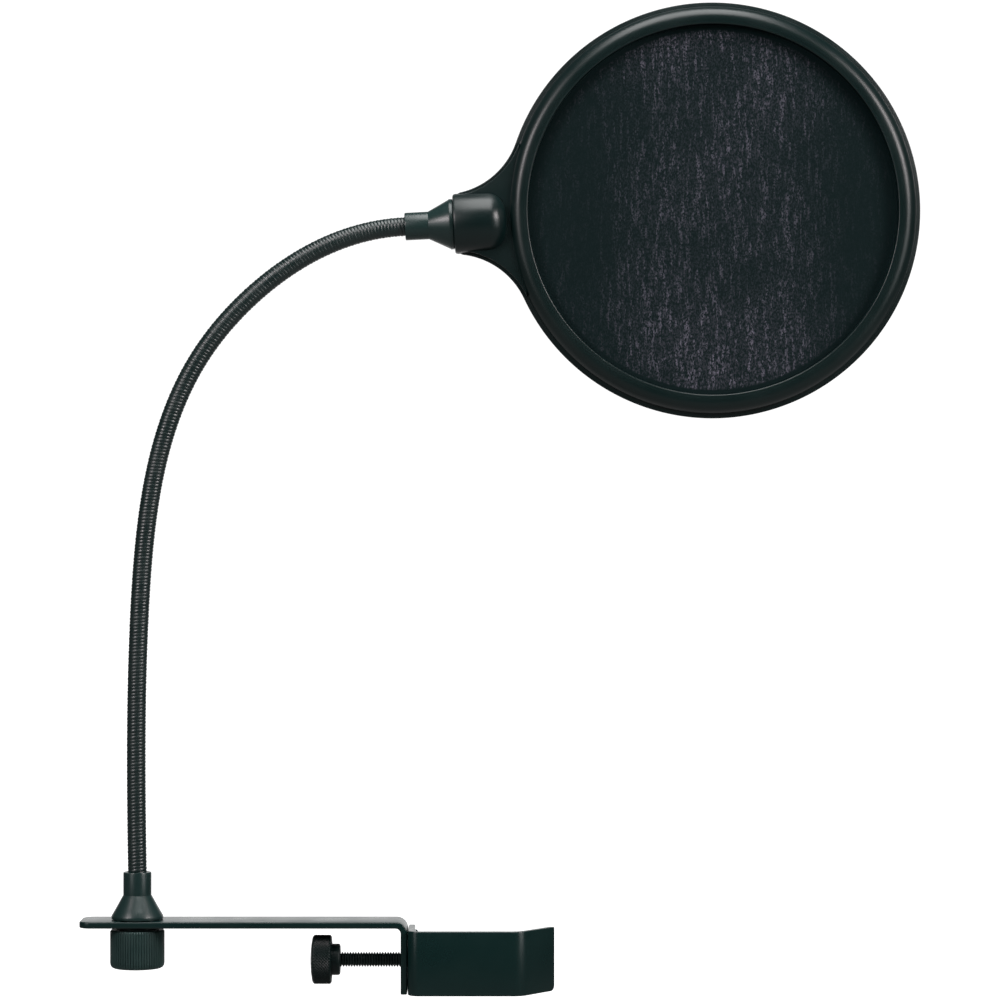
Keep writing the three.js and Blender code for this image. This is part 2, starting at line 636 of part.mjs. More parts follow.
// The shell screws stand beside the socket's round end, inside the web's edges.
const SHELL_SCREW_ALONG = SOCKET_END - SHELL_SCREW_BACK;
const EDGE_AT_SCREW = EDGE_ASIDE - Math.sqrt(WEB_FILLET ** 2 - (SHELL_SCREW_ALONG - EDGE_ALONG) ** 2);
const SHELL_SCREW_ASIDE = EDGE_AT_SCREW - SHELL_SCREW_FROM_EDGE;

// A hole for a shell screw on each side of the socket: right through with a sunk head, or blind
function shellScrewHoles(isThrough) {
  const shank = SHELL_SCREW / 2 + FIT;
  const sunk = SHELL_SCREW_HEAD / 2 + FIT;
  const past = WEB_THICKNESS / 2 + OVERRUN;
  const seat = SHELL_SCREW_SEAT - FIT;
  const start = [[0, -OVERRUN], [shank, -OVERRUN]];
  const through = [...start, [shank, seat], [sunk, seat], [sunk, past], [0, past]];
  const deep = SHELL_SCREW_BITE + FIT;
  const blind = [...start, [shank, deep], [0, deep]];
  const hole = () => aboutY(turned(isThrough ? through : blind, SMALL_ROUND));
  return [-1, 1].map((side) => hole().translate(side * SHELL_SCREW_ASIDE, 0, SHELL_SCREW_ALONG));
}

// Half of the screen's housing, on the +Y side: ring, web and socket in one moulding
function housingHalf(isThrough) {
  const reach = 2 * RING;
  const backSpace = new THREE.BoxGeometry(reach, reach, reach).translate(0, reach / 2 + FIT / 2, 0);
  const middle = toSolid(webHalf()).add(toSolid(socketOuter())).intersect(toSolid(backSpace));
  const housing = toGeometry(middle.add(toSolid(ringHalf())));
  return cut(housing, socketCavity(), ...shellScrewHoles(isThrough));
}

function hoopBackShell() {
  return named('hoop_back_shell', housingHalf(true), BLACK_PLASTIC);
}

function hoopFrontShell() {
  return named('hoop_front_shell', housingHalf(false).rotateZ(Math.PI), BLACK_PLASTIC);
}

function meshDisc(name, y) {
  const disc = aboutY(rod(2 * MESH_RADIUS, -MESH / 2, MESH / 2, RING_FACETS));
  return at(named(name, disc, NYLON), 0, y, RING_CENTRE);
}

function spacerRing() {
  const half = MESH_SPREAD - MESH / 2 - FIT;
  const inner = RING_OPENING / 2 + FIT;
  const loop = [[MESH_RADIUS, -half], [MESH_RADIUS, half], [inner, half], [inner, -half]];
  const ring = aboutY(turnedRing(loop, RING_FACETS));
  return at(named('spacer_ring', ring, BLACK_PLASTIC), 0, 0, RING_CENTRE);
}

function shellScrew(number, side) {
  const shank = SHELL_SCREW / 2;
  const rim = SHELL_SCREW_HEAD / 2;
  const top = WEB_THICKNESS / 2;
  const profile = [
    [0, -SHELL_SCREW_BITE], [shank, -SHELL_SCREW_BITE], [shank, SHELL_SCREW_SEAT],
    [rim, SHELL_SCREW_SEAT], [rim, top - FIT], [rim - FIT, top], [0, top],
  ];
  const screw = named(`neck_screw_${number}`, aboutY(turned(profile, SMALL_ROUND)), BRIGHT_STEEL);
  return at(screw, side * SHELL_SCREW_ASIDE, 0, SHELL_SCREW_ALONG);
}

// ---------------------------------------------------------------- assembly

function bracket() {
  const group = new THREE.Group();
  group.add(armPlate(), clampHook(), hookRivet(1, RIVET_OFFSET), hookRivet(2, -RIVET_OFFSET));
  return group;
}

function clamp() {
  const group = new THREE.Group();
  group.position.set(FLANGE_X - HUB_TO_FLANGE, ARM_MIDDLE_Y, 0);
  group.add(clampScrew(), clampKnob(), screwPad());
  return group;
}

function nut() {
  const group = new THREE.Group();
  group.position.set(STUD_X, ARM_MIDDLE_Y, ARM_UNDER_Z);
  group.add(nutWasher(), thumbNut(), nutInsert());
  return group;
}

function head() {
  const group = new THREE.Group();
  group.position.copy(NECK_LINE.pointAt(NECK_LENGTH));
  group.rotation.y = NECK_LINE.leanAt(NECK_LENGTH) + HEAD_TURN * DEGREE;
  group.add(upperFerrule(), upperNipple(), socketNut());
  group.add(hoopFrontShell(), hoopBackShell(), spacerRing());
  group.add(meshDisc('mesh_front', -MESH_SPREAD), meshDisc('mesh_back', MESH_SPREAD));
  group.add(shellScrew(1, -1), shellScrew(2, 1));
  return group;
}

function neck() {
  const group = new THREE.Group();
  group.position.set(STUD_X, ARM_MIDDLE_Y, NECK_Z);
  group.add(lowerFerrule(), lowerNipple());
  for (let i = 0; i < NECK_PIECES; i += 1) {
    group.add(named(`neck_segment_${i + 1}`, neckSegment(i), DARK_STEEL));
    group.add(named(`neck_core_${i + 1}`, neckCore(i), BRIGHT_STEEL));
  }
  group.add(head());
  return group;
}

const popFilter = new THREE.Group();
popFilter.add(bracket(), clamp(), nut(), neck());

export default popFilter;
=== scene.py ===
"""Pop filter: a double nylon screen on a gooseneck, on an arm that clamps to a stand tube."""
import contextlib
import json
import math

import bmesh
import bpy
import numpy as np
from mathutils import Matrix, Vector


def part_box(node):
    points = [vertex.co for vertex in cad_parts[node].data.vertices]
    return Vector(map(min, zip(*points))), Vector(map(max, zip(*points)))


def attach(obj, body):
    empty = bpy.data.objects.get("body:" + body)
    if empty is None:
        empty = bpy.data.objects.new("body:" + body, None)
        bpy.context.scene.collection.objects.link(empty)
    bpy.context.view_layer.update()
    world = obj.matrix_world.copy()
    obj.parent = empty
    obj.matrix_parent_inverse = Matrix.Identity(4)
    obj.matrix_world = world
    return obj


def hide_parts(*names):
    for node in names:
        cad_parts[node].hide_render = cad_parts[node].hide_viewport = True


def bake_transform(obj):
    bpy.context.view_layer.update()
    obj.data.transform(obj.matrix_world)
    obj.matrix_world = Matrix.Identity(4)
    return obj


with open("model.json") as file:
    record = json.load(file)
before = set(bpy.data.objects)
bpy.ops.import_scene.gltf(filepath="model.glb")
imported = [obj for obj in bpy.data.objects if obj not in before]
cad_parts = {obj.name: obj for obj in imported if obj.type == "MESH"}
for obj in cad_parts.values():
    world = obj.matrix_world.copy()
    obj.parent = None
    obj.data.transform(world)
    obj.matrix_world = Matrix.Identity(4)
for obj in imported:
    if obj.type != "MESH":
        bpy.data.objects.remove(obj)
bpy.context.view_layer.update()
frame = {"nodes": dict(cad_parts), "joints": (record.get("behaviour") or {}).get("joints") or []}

MM = 0.001
UP = Vector((0, 0, 1))
ACROSS = Vector((0, 1, 0))
ALONG = Vector((1, 0, 0))
UP_TO_ALONG = Matrix.Rotation(math.pi / 2, 4, "Y")

# Sizes in millimetres that several pieces share
STRAP = 2.5                    # thickness of the arm and the hook
STRAP_BEND = 2                 # radius inside their bends
STRAP_EDGE = 0.45              # rounding of their edges
STUD_BORE = 4.3                # radius of what the two threaded studs pass through
NECK_BORE = 3.95               # radius of what the neck sits in
SCREW_HOLE = 6.4               # diameter, through the arm and the hook


# ---------------------------------------------------------------- places from the frame

def joint(name):
    return next(j for j in frame["joints"] if j["name"] == name)


def pivot(name):
    return Vector(joint(name)["pos_m"])


def box_in(node, matrix):
    """Lowest and highest corner of a node in another frame."""
    inverse = matrix.inverted()
    corners = np.array([inverse @ v.co for v in frame["nodes"][node].data.vertices])
    return Vector(corners.min(0)), Vector(corners.max(0))


def middle_of(node):
    low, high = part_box(node)
    return (low + high) / 2


def foot_of(node):
    """The middle of a node's underside."""
    centre = middle_of(node)
    return Vector((centre.x, centre.y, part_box(node)[0].z))


HEAD_AXIS = Vector(joint("hoop_twist")["axis"])
HEAD = Matrix.Translation(pivot("hoop_twist")) @ Matrix((
    ACROSS.cross(HEAD_AXIS), ACROSS, HEAD_AXIS)).transposed().to_4x4()
RING_CENTRE = (sum(box_in("mesh_front", HEAD), Vector()) / 2).z
LIP_RADIUS = box_in("hoop_front_shell", HEAD)[1].x
SOCKET_START = box_in("hoop_front_shell", HEAD)[0].z
RING_MIDDLE = HEAD @ Vector((0, 0, RING_CENTRE))


# ---------------------------------------------------------------- modelling

def free():
    """Back to object mode with nothing selected."""
    if bpy.context.object and bpy.context.object.mode != "OBJECT":
        bpy.ops.object.mode_set(mode="OBJECT")
    bpy.ops.object.select_all(action="DESELECT")


def take(*pieces):
    free()
    for piece in pieces:
        piece.select_set(True)
    bpy.context.view_layer.objects.active = pieces[0]
    return pieces[0]


@contextlib.contextmanager
def editing(piece):
    take(piece)
    bpy.ops.object.mode_set(mode="EDIT")
    bpy.ops.mesh.select_mode(type="VERT")
    bpy.ops.mesh.select_all(action="SELECT")
    yield
    bpy.ops.object.mode_set(mode="OBJECT")


def pick(piece, kind, test):
    """In edit mode, selects the faces, edges or verts that pass a test."""
    bpy.ops.mesh.select_mode(type={"faces": "FACE", "edges": "EDGE", "verts": "VERT"}[kind])
    bpy.ops.mesh.select_all(action="DESELECT")
    mesh = bmesh.from_edit_mesh(piece.data)
    for part in getattr(mesh, kind):
        part.select_set(bool(test(part)))
    mesh.select_flush_mode()
    bmesh.update_edit_mesh(piece.data)


def centre_of(part):
    return sum((v.co for v in part.verts), Vector()) / len(part.verts)


def tidy_surface():
    bpy.ops.mesh.select_all(action="SELECT")
    bpy.ops.mesh.remove_doubles(threshold=0.002 * MM)
    bpy.ops.mesh.normals_make_consistent(inside=False)


def slice_off(place, normal, fill=False, keep=False):
    """In edit mode, cuts all that is selected by a plane and clears what its normal points to."""
    bpy.ops.mesh.bisect(plane_co=place, plane_no=normal, clear_outer=not keep, use_fill=fill,
                        threshold=0.0001 * MM)


def line(name, points, closed=False):
    """Draws a line of edges by extruding a vertex from place to place."""
    free()
    bpy.ops.mesh.primitive_plane_add(size=MM)
    piece = bpy.context.object
    piece.name = piece.data.name = name
    places = [Vector(p) for p in points]
    with editing(piece):
        bpy.ops.mesh.merge(type="CENTER")
        bpy.ops.transform.translate(value=places[0])
        for before, place in zip(places, places[1:]):
            bpy.ops.mesh.extrude_vertices_move(TRANSFORM_OT_translate={"value": place - before})
        if closed:
            ends = (places[0], places[-1])
            pick(piece, "verts", lambda v: min((v.co - end).length for end in ends) < 0.001 * MM)
            bpy.ops.mesh.edge_face_add()
    return piece


def spun(name, outline, steps, closed=False, axis=UP, centre=(0, 0, 0)):
    """Spins an outline of places once round an axis."""
    piece = line(name, outline, closed)
    with editing(piece):
        bpy.ops.mesh.spin(steps=steps, angle=2 * math.pi, center=centre, axis=axis)
        tidy_surface()
    return piece


def turned(name, profile, steps=96, closed=False):
    """A turned piece about Z. The profile is (radius, height) pairs in millimetres."""
    return spun(name, [(r * MM, 0, z * MM) for r, z in profile], steps, closed)


def arc(centre, radius, start, end, steps):
    """Points on part of a circle, from one angle to another in degrees."""
    angles = [math.radians(start + (end - start) * i / steps) for i in range(steps + 1)]
    return [(centre[0] + radius * math.cos(a), centre[1] + radius * math.sin(a)) for a in angles]


def plate(name, outline, low, high):
    """A flat plate in millimetres: its outline is (across, along) pairs, its faces are at two Y."""
    piece = line(name, [(x * MM, low * MM, z * MM) for x, z in outline], closed=True)
    with editing(piece):
        bpy.ops.mesh.edge_face_add()
        move = {"value": (0, (high - low) * MM, 0)}
        bpy.ops.mesh.extrude_region_move(TRANSFORM_OT_translate=move)
        tidy_surface()
    return piece


def modify(piece, kind, **settings):
    take(piece)
    modifier = piece.modifiers.new(kind.lower(), kind)
    for name, value in settings.items():
        setattr(modifier, name, value)
    bpy.ops.object.modifier_apply(modifier=modifier.name)
    return piece


def combine(piece, tool, operation):
    """Joins a tool to a piece, or cuts it out, and throws the tool away."""
    modify(piece, "BOOLEAN", operation=operation, object=tool, solver="EXACT")
    bpy.data.objects.remove(tool)
    return piece


def rounded(piece, width, segments=3, angle=35):
    return modify(piece, "BEVEL", width=width * MM, segments=segments, limit_method="ANGLE",
                  angle_limit=math.radians(angle), harden_normals=False)


def placed(piece, matrix):
    take(piece)
    piece.matrix_world = matrix
    bpy.ops.object.transform_apply(location=True, rotation=True, scale=True)
    return piece


def stood_on(piece, node):
    """Stands a piece that was made up Z where a node stands."""
    return placed(piece, Matrix.Translation(foot_of(node)))


def along_x(piece, node):
    """Lays a piece that was made up Z along X, from where a node starts."""
    centre = middle_of(node)
    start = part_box(node)[0].x
    return placed(piece, Matrix.Translation((start, centre.y, centre.z)) @ UP_TO_ALONG)


def copy_of(piece, name):
    twin = piece.copy()
    twin.data = piece.data.copy()
    twin.name = twin.data.name = name
    bpy.context.scene.collection.objects.link(twin)
    return twin


def finished(piece, material, body, slot, *nodes, angle=30):
    """Gives a piece its shading, material and body, and hides the CAD nodes that it stands for."""
    take(piece)
    bpy.ops.object.shade_smooth_by_angle(angle=math.radians(angle))
    piece.data.materials.clear()
    piece.data.materials.append(material)
    if body:
        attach(piece, body)
    if nodes:
        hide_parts(*nodes)
    return piece


# ---------------------------------------------------------------- shader maths

class Value:
    """A number in a material. Sums, differences and products of it add Math nodes."""

    def __init__(self, paint, socket):
        self.paint = paint
        self.socket = socket

    def math(self, operation, *others):
        return self.paint.node("Math", {"operation": operation}, {0: self, **dict(enumerate(others, 1))})

    def __add__(self, other):
        return self.math("ADD", other)

    def __sub__(self, other):
        return self.math("SUBTRACT", other)

    def __rsub__(self, other):
        return self.paint.node("Math", {"operation": "SUBTRACT"}, {0: other, 1: self})

    def __mul__(self, other):
        return self.math("MULTIPLY", other)

    __radd__ = __add__
    __rmul__ = __mul__


class Paint:
    """A material's node tree."""

    def __init__(self, name, **constants):
        self.material = bpy.data.materials.new(name)
        self.material.use_nodes = True
        self.tree = self.material.node_tree
        self.shader = self.tree.nodes["Principled BSDF"]
        for socket, value in constants.items():
            self.shader.inputs[socket.replace("_", " ")].default_value = value
        self.place = self.node("TexCoord", {}, {}, "Object")

    def node(self, kind, settings, inputs, output=0):
        """Adds a node: its settings first, then the values and links of its sockets."""
        made = self.tree.nodes.new("ShaderNode" + kind)
        for name, value in settings.items():
            setattr(made, name, value)
        for name, value in inputs.items():
            self.feed(made.inputs[name], value)
        return Value(self, made.outputs[output])

    def feed(self, socket, value):
        if isinstance(value, Value):
            self.tree.links.new(value.socket, socket)
        else:
            socket.default_value = value

    def set(self, name, value):
        self.feed(self.shader.inputs[name], value)

    def noise(self, per_metre, detail=2, stretch=(1, 1, 1), roughness=0.5, place=None, colour=False):
        where = self.node("Mapping", {}, {"Vector": place or self.place, "Scale": stretch})
        return self.node("TexNoise", {}, {"Vector": where, "Scale": per_metre, "Detail": detail,
                                          "Roughness": roughness}, int(colour))

    def ramp(self, value, low, high, start=0.0, end=1.0):
        """Maps low to high onto start to end, smoothly."""
        settings = {"interpolation_type": "SMOOTHSTEP"}
        return self.node("MapRange", settings, {"Value": value, "From Min": low, "From Max": high,
                                                "To Min": start, "To Max": end})

    def mix(self, factor, first, second):
        return self.node("Mix", {"data_type": "RGBA"}, {0: factor, 6: (*first, 1), 7: (*second, 1)}, 2)

    def bump(self, height, distance, strength=1.0):
        self.set("Normal", self.node("Bump", {}, {"Height": height, "Distance": distance,
                                                  "Strength": strength}))


def satin_paint():
    """Black satin paint on sheet steel: a faint orange peel and fine dust in it."""
    paint = Paint("satin_paint", IOR=1.5)
    patches = paint.noise(60, 3)
    dust = paint.ramp(paint.noise(2600, 2), 0.66, 0.74)
    paint.set("Base Color", paint.mix(patches, (0.0015, 0.0150, 0.0140), (0.0028, 0.0185, 0.0172)))
    paint.set("Roughness", paint.ramp(patches, 0.3, 0.7, 0.26, 0.32) + dust * 0.12)
    paint.bump(paint.noise(900, 2) * 0.8 + paint.noise(4200, 1) * 0.2, 0.02 * MM, 0.5)
    return paint.material


def turned_paint():
    """The same black on turned ferrules, a little glossier, with faint turning marks."""
    paint = Paint("turned_paint", IOR=1.5)
    patches = paint.noise(90, 3)
    paint.set("Base Color", paint.mix(patches, (0.006, 0.0220, 0.0205), (0.010, 0.0275, 0.0260)))
    paint.set("Roughness", paint.ramp(patches, 0.3, 0.7, 0.30, 0.38))
    paint.bump(paint.noise(2400, 2), 0.02 * MM, 0.4)
    return paint.material


def moulded_plastic():
    """Black moulded plastic with a fine spark-eroded grain."""
    plastic = Paint("moulded_plastic", IOR=1.46)
    cloud = plastic.noise(45, 3)
    plastic.set("Base Color", plastic.mix(cloud, (0.0010, 0.0080, 0.0078), (0.0018, 0.0102, 0.0099)))
    plastic.set("Roughness", plastic.ramp(cloud, 0.3, 0.7, 0.30, 0.38))
    plastic.bump(plastic.noise(1700, 2), 0.03 * MM, 0.5)
    return plastic.material


def matt_plastic(name, dark, light):
    """Matt black plastic of the knobs, worn a little in places."""
    plastic = Paint(name, IOR=1.46, Specular_IOR_Level=0.3)
    cloud = plastic.noise(220, 3)
    plastic.set("Base Color", plastic.mix(cloud, dark, light))
    plastic.set("Roughness", plastic.ramp(cloud, 0.3, 0.7, 0.42, 0.55))
    plastic.bump(plastic.noise(3000, 2), 0.02 * MM, 0.5)
    return plastic.material


def coil_steel():
    """Blackened steel wire of the gooseneck, oily in places."""
    steel = Paint("coil_steel", IOR=1.6)
    cloud = steel.noise(160, 3)
    steel.set("Base Color", steel.mix(cloud, (0.0018, 0.0115, 0.0110), (0.0045, 0.0150, 0.0142)))
    steel.set("Roughness", steel.ramp(cloud, 0.3, 0.7, 0.30, 0.42))
    steel.bump(steel.noise(3500, 2), 0.01 * MM, 0.5)
    return steel.material


def black_oxide():
    """Black oxide on the screws' threads."""
    oxide = Paint("black_oxide", Metallic=0.4)
    cloud = oxide.noise(400, 3)
    oxide.set("Base Color", oxide.mix(cloud, (0.005, 0.013, 0.0125), (0.014, 0.025, 0.024)))
    oxide.set("Roughness", oxide.ramp(cloud, 0.3, 0.7, 0.3, 0.5))
    return oxide.material


def bare_metal(name, dark, light, roughness):
    metal = Paint(name, Metallic=1.0)
    cloud = metal.noise(500, 3)
    metal.set("Base Color", metal.mix(cloud, dark, light))
    metal.set("Roughness", metal.ramp(cloud, 0.3, 0.7, roughness, roughness + 0.15))
    metal.bump(metal.noise(2500, 2, (1, 1, 12)), 0.01 * MM, 0.4)
    return metal.material


def nylon_mesh():
    """Black nylon: fine threads both ways, with long upright streaks where they draw together. Painted
    light on it too: a sheen down the middle, lighter towards the top and bottom, and painted shade in a
    ring by the rim.
    """
    nylon = Paint("nylon_mesh", IOR=1.4, Specular_IOR_Level=0.2)
    place = nylon.node("Mapping", {}, {"Vector": nylon.place, "Location": -RING_MIDDLE})
    from_middle = nylon.node("VectorMath", {"operation": "LENGTH"}, {0: place}, "Value")
    # painted shade: stretched is 1 over most of the mesh and falls to 0 in a ring just inside the bead,
    # painting the shade that the bead casts on the mesh
    stretched = 1 - nylon.ramp(from_middle, 69.6 * MM, 70.6 * MM)
    sideways = nylon.node("SeparateXYZ", {}, {0: place}, "X")
    upright = nylon.node("SeparateXYZ", {}, {0: place}, "Z").math("ABSOLUTE")
    # painted sheen: column lights the mesh most in an upright band down the middle and darkens it
    # towards the sides
    column = 1 - 0.85 * nylon.ramp((sideways - 3 * MM).math("ABSOLUTE"), 14 * MM, 54 * MM)
    wander = nylon.node("VectorMath", {"operation": "MULTIPLY_ADD"},
                        {0: nylon.noise(14, 2, colour=True), 1: (0.012, 0, 0.004), 2: nylon.place})
    streaks = nylon.ramp(nylon.noise(860, 3, (1, 1, 0.15), 0.6, wander), 0.46, 0.70)
    threads = nylon.noise(1900, 2, (1, 1, 0.6), 0.7)
    weave = nylon.ramp(threads, 0.40, 0.66)
    clouds = nylon.ramp(nylon.noise(22, 2), 0.32, 0.60, 0.45, 1)
    # painted light: ends makes the mesh lighter towards the top and bottom and darker across the middle
    ends = nylon.ramp(upright, 10 * MM, 62 * MM, 0.72, 1.1)
    # the threads' own tone (streaks, weave, clouds) times the painted shade and light above, mixed from
    # black to a pale purple grey
    light = (0.20 + 0.80 * streaks) * weave * clouds * column * stretched * ends
    nylon.set("Base Color", nylon.mix(light, (0.0012, 0.0078, 0.0083), (0.128, 0.122, 0.158)))
    nylon.set("Roughness", 0.9)
    nylon.bump(threads, 0.05 * MM, 0.6)
    return nylon.material


# ---------------------------------------------------------------- gooseneck

NECK_PIECES = 9
TURNS = 13                     # of the wire between two pivots
COIL = 3.74                    # radius over the round wire's crests
GROOVE = 3.56
WEDGE = 3.70                   # over the wedge wire between its turns
COIL_STEPS = 26
BORE_SHARE = 0.66              # of the bore in the coil's radius
SEAM = 0.0171                  # of a pitch, which keeps the cuts clear of the coil's corners
TUCK = 4                       # of the neck inside each ferrule

NECK_KNOTS = [Vector((*middle_of("lower_ferrule").xy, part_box("lower_ferrule")[1].z))]
for number in range(1, 5):
    NECK_KNOTS += [pivot(f"neck_bend_{number}"), pivot(f"neck_lean_{number}")]
NECK_KNOTS.append(pivot("hoop_twist"))


def neck_slopes():
    """Tangents at the knots of the smooth curve through them, per stretch."""
    count = len(NECK_KNOTS)
    system = np.zeros((count, count))
    steps = np.array([b - a for a, b in zip(NECK_KNOTS, NECK_KNOTS[1:])])
    right = np.zeros((count, 3))
    system[0, :3] = system[-1, -3:] = (1, -2, 1)
    for i in range(1, count - 1):
        system[i, i - 1:i + 2] = (1, 4, 1)
        right[i] = 6 * (steps[i] - steps[i - 1])
    bends = np.linalg.solve(system, right)
    slopes = [steps[i] - (2 * bends[i] + bends[i + 1]) / 6 for i in range(count - 1)]
    slopes.append(steps[-1] + (bends[-2] + 2 * bends[-1]) / 6)
    return [Vector(s) for s in slopes]


NECK_SLOPES = neck_slopes()


def neck_place(stretch):
    """The place on the neck's centre line, counted in stretches from the lower ferrule."""
    i = min(int(stretch), NECK_PIECES - 1)
    t = stretch - i
    a, b = NECK_KNOTS[i], NECK_KNOTS[i + 1]
    return (a * (2 * t + 1) * (1 - t) ** 2 + NECK_SLOPES[i] * t * (1 - t) ** 2
            + b * t * t * (3 - 2 * t) + NECK_SLOPES[i + 1] * t * t * (t - 1))


def neck_curve():
    data = bpy.data.curves.new("neck_line", "CURVE")
    data.dimensions = "3D"
    data.resolution_u = 48
    spline = data.splines.new("BEZIER")
    spline.bezier_points.add(len(NECK_KNOTS) - 1)
    for point, knot, slope in zip(spline.bezier_points, NECK_KNOTS, NECK_SLOPES):
        point.handle_left_type = point.handle_right_type = "FREE"
        point.co = knot
        point.handle_left = knot - slope / 3
        point.handle_right = knot + slope / 3
    curve = bpy.data.objects.new("neck_line", data)
    bpy.context.scene.collection.objects.link(curve)
    bpy.context.view_layer.update()
    return curve, spline.calc_length()


def helix(name, pitch, turns, profile, steps):
    """A ribbed rod about Z: one pitch of its outline, (radius, height) in millimetres, screwed up."""
    piece = line(name, [(r * MM, 0, z * MM) for r, z in profile])
    modify(piece, "SCREW", axis="Z", angle=2 * math.pi, screw_offset=pitch * MM, steps=steps,
           render_steps=steps, iterations=turns, use_merge_vertices=True, merge_threshold=0.002 * MM)
    with editing(piece):
        tidy_surface()
    return piece


def trimmed(piece, low, high, fill=False):
    """Cuts a piece off square below and above two heights, in millimetres."""
    with editing(piece):
        for height, side in ((low, -1), (high, 1)):
            bpy.ops.mesh.select_all(action="SELECT")
            slice_off((0, 0, height * MM), (0, 0, side), fill)
        if fill:
            tidy_surface()
    return piece


def coil_profile(pitch):
    """One pitch of the neck's surface: the round wire's crest, then the wedge wire's."""
    round_wire = [(GROOVE, 0), (COIL - 0.12, 0.05), (COIL - 0.02, 0.15), (COIL, 0.27),
                  (COIL - 0.02, 0.39), (COIL - 0.12, 0.49)]
    wedge_wire = [(GROOVE, 0.54), (WEDGE - 0.08, 0.59), (WEDGE, 0.77), (WEDGE - 0.08, 0.95),
                  (GROOVE, 1)]
    return [(radius, share * pitch) for radius, share in round_wire + wedge_wire]


def bored(piece):
    """Closes a trimmed coil with flat ends and a bore through it."""
    with editing(piece):
        pick(piece, "edges", lambda e: e.is_boundary)
        bpy.ops.mesh.extrude_edges_move()
        bpy.ops.transform.resize(value=(BORE_SHARE, BORE_SHARE, 1), center_override=(0, 0, 0))
        bpy.ops.mesh.bridge_edge_loops(number_cuts=12, interpolation="LINEAR")
        tidy_surface()
    return piece


def neck_sections(steel):
    curve, length = neck_curve()
    stretch = length / MM / NECK_PIECES
    pitch = stretch / TURNS
    whole = helix("neck_coil", pitch, TURNS + 2, coil_profile(pitch), COIL_STEPS)
    for number in range(NECK_PIECES + 1):
        is_first, is_last = number == 0, number == NECK_PIECES
        name = f"gooseneck_{number}"
        section = copy_of(whole, name)
        start = -TUCK if is_first else (number - 0.5) * stretch + SEAM * pitch
        end = (number + 0.5) * stretch + SEAM * pitch
        if is_last:
            end = NECK_PIECES * stretch + TUCK
        lift = (math.floor(start / pitch) - 1) * pitch
        trimmed(placed(section, Matrix.Translation((0, 0, lift * MM))), start, end)
        bored(section)
        modify(section, "CURVE", object=curve, deform_axis="POS_Z")
        if is_first or is_last:
            body = f"neck_{NECK_PIECES if is_last else 1}"
            finished(section, steel, body, "neck_steel", f"neck_segment_{number or 1}")
        else:
            pair = (f"neck_segment_{number}", f"neck_segment_{number + 1}")
            finished(section, steel, None, "neck_steel", *pair, angle=50)
            neck_place(number - 0.5)
            neck_place(number + 0.5)
            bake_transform(section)
    bpy.data.objects.remove(whole)
    bpy.data.objects.remove(curve)


# ---------------------------------------------------------------- ferrules and studs

def lower_ferrule(paint):
    low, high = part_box("lower_ferrule")
    base = (high.x - low.x) / 2 / MM
    height = (high.z - low.z) / MM
    wall, cone_top = 5.5, 9.3
    profile = [
        (STUD_BORE, 0), (base - 0.3, 0), (base - 0.08, 0.1), (base, 0.3), (base, 1.1),
        (base - 0.15, 1.5), (8.72, 3.6), (7.4, 5.9), (6.2, 8.1), (wall + 0.3, 8.8),
        (wall + 0.05, cone_top - 0.1), (wall, cone_top), (wall, height - 0.45),
        (wall - 0.12, height - 0.12), (wall - 0.45, height), (NECK_BORE, height),
        (NECK_BORE, height - TUCK - 0.15), (STUD_BORE, height - TUCK - 0.15),
    ]
    piece = stood_on(turned("ferrule_lower", profile, closed=True), "lower_ferrule")
    finished(piece, paint, "neck_1", "black_paint", "lower_ferrule", angle=24)


def upper_ferrule(paint):
    """Its wide end is flush with the socket, which turns on it."""
    high = box_in("upper_ferrule", HEAD)[1]
    end = SOCKET_START / MM - 0.04
    cone_end = high.z / MM - 1.4
    rim = high.x / MM
    wall, cylinder_end = 5.4, 9.5
    profile = [
        (NECK_BORE, 0), (wall - 0.45, 0), (wall - 0.12, 0.12), (wall, 0.45),
        (wall, cylinder_end - 0.3), (wall + 0.15, cylinder_end), (rim - 0.35, cone_end - 0.1),
        (rim - 0.3, cone_end + 0.1), (rim - 0.05, cone_end + 0.15), (rim, cone_end + 0.3),
        (rim, end - 0.35), (rim - 0.1, end - 0.1), (rim - 0.35, end), (STUD_BORE, end),
        (STUD_BORE, TUCK + 0.15), (NECK_BORE, TUCK + 0.15),
    ]
    piece = placed(turned("ferrule_upper", profile, closed=True), HEAD)
    finished(piece, paint, "neck_9", "black_paint", "upper_ferrule", angle=24)


def thread(name, diameter, pitch, low, high, steps=28):
    """A threaded rod about Z with flat ends."""
    crest = diameter / 2
    root = crest - 0.61 * pitch
    outline = [(crest, -0.13 * pitch), (crest, 0.13 * pitch), (root, 0.44 * pitch),
               (root, 0.56 * pitch), (crest, 0.87 * pitch)]
    turns = math.ceil((high - low) / pitch) + 2
    rod = helix(name, pitch, turns, outline, steps)
    placed(rod, Matrix.Translation((0, 0, (low - 1.013 * pitch) * MM)))
    return trimmed(rod, low, high, fill=True)


def lower_stud(oxide):
    low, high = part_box("lower_nipple")
    piece = thread("stud_lower", 7.9, 1.25, 0, (high.z - low.z) / MM)
    stood_on(piece, "lower_nipple")
    finished(piece, oxide, "neck_1", "screw_steel", "lower_nipple")


# ---------------------------------------------------------------- bracket

